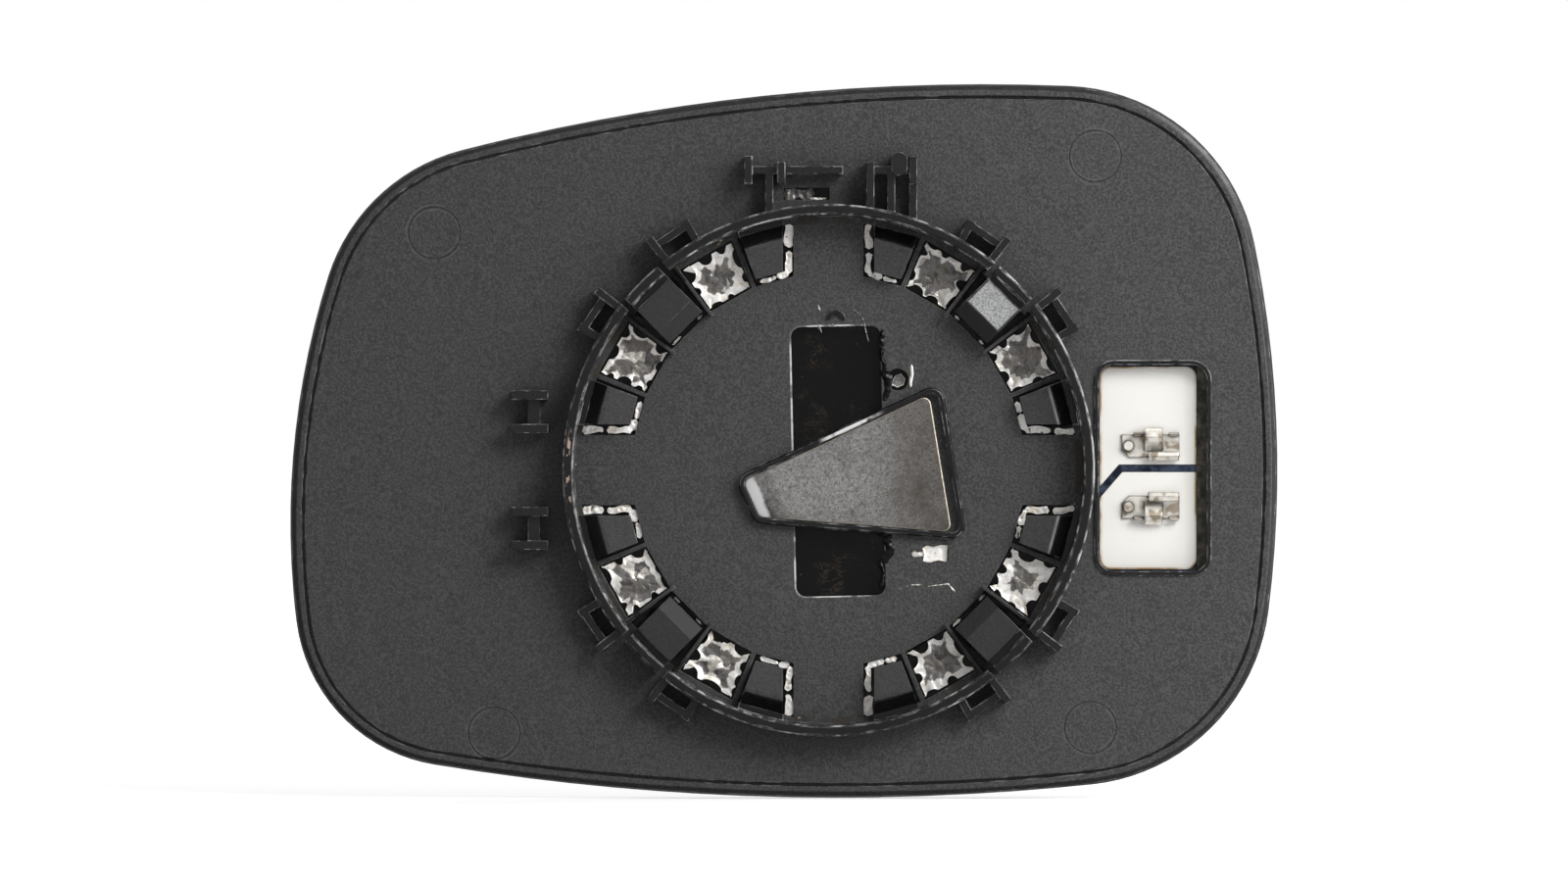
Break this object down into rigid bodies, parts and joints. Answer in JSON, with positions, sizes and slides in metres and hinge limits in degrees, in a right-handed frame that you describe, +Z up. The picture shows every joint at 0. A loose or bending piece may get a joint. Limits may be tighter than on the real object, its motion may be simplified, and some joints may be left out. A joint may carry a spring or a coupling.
{
  "type": "car door mirror glass",
  "caption": "Convex heated door mirror glass in a black moulded carrier with a rounded rim, a clip ring of latches and tongues behind it, and a window with heater terminals.",
  "frame": {"origin": "on the clip ring's axis, in the plane of the ring's mouth", "axes": "+Z up and +X to the right as seen from behind, with the glass upright as it is fitted; +Y towards the driver, out of the glass"},
  "size_m": [0.18, 0.0133, 0.1302],
  "materials": {
    "carrier": "fine spark-eroded grain, glossier on the ring and its latches",
    "silvered_glass": "polished",
    "foil": "crumpled foil",
    "adhesive": "smooth film",
    "steel": "grained sheet",
    "pad": "soft foam",
    "tinned": "tinned"
  },
  "bodies": {
    "root": {"carrier_plate": "carrier", "mirror_glass": "silvered_glass", "heater_film": "foil", "adhesive_sheet": "adhesive", "steel_insert": "steel", "terminal_pad_upper": "pad", "terminal_pad_lower": "pad", "terminal_upper": "tinned", "terminal_lower": "tinned", "terminal_rivets": "tinned"}
  },
  "joints": []
}
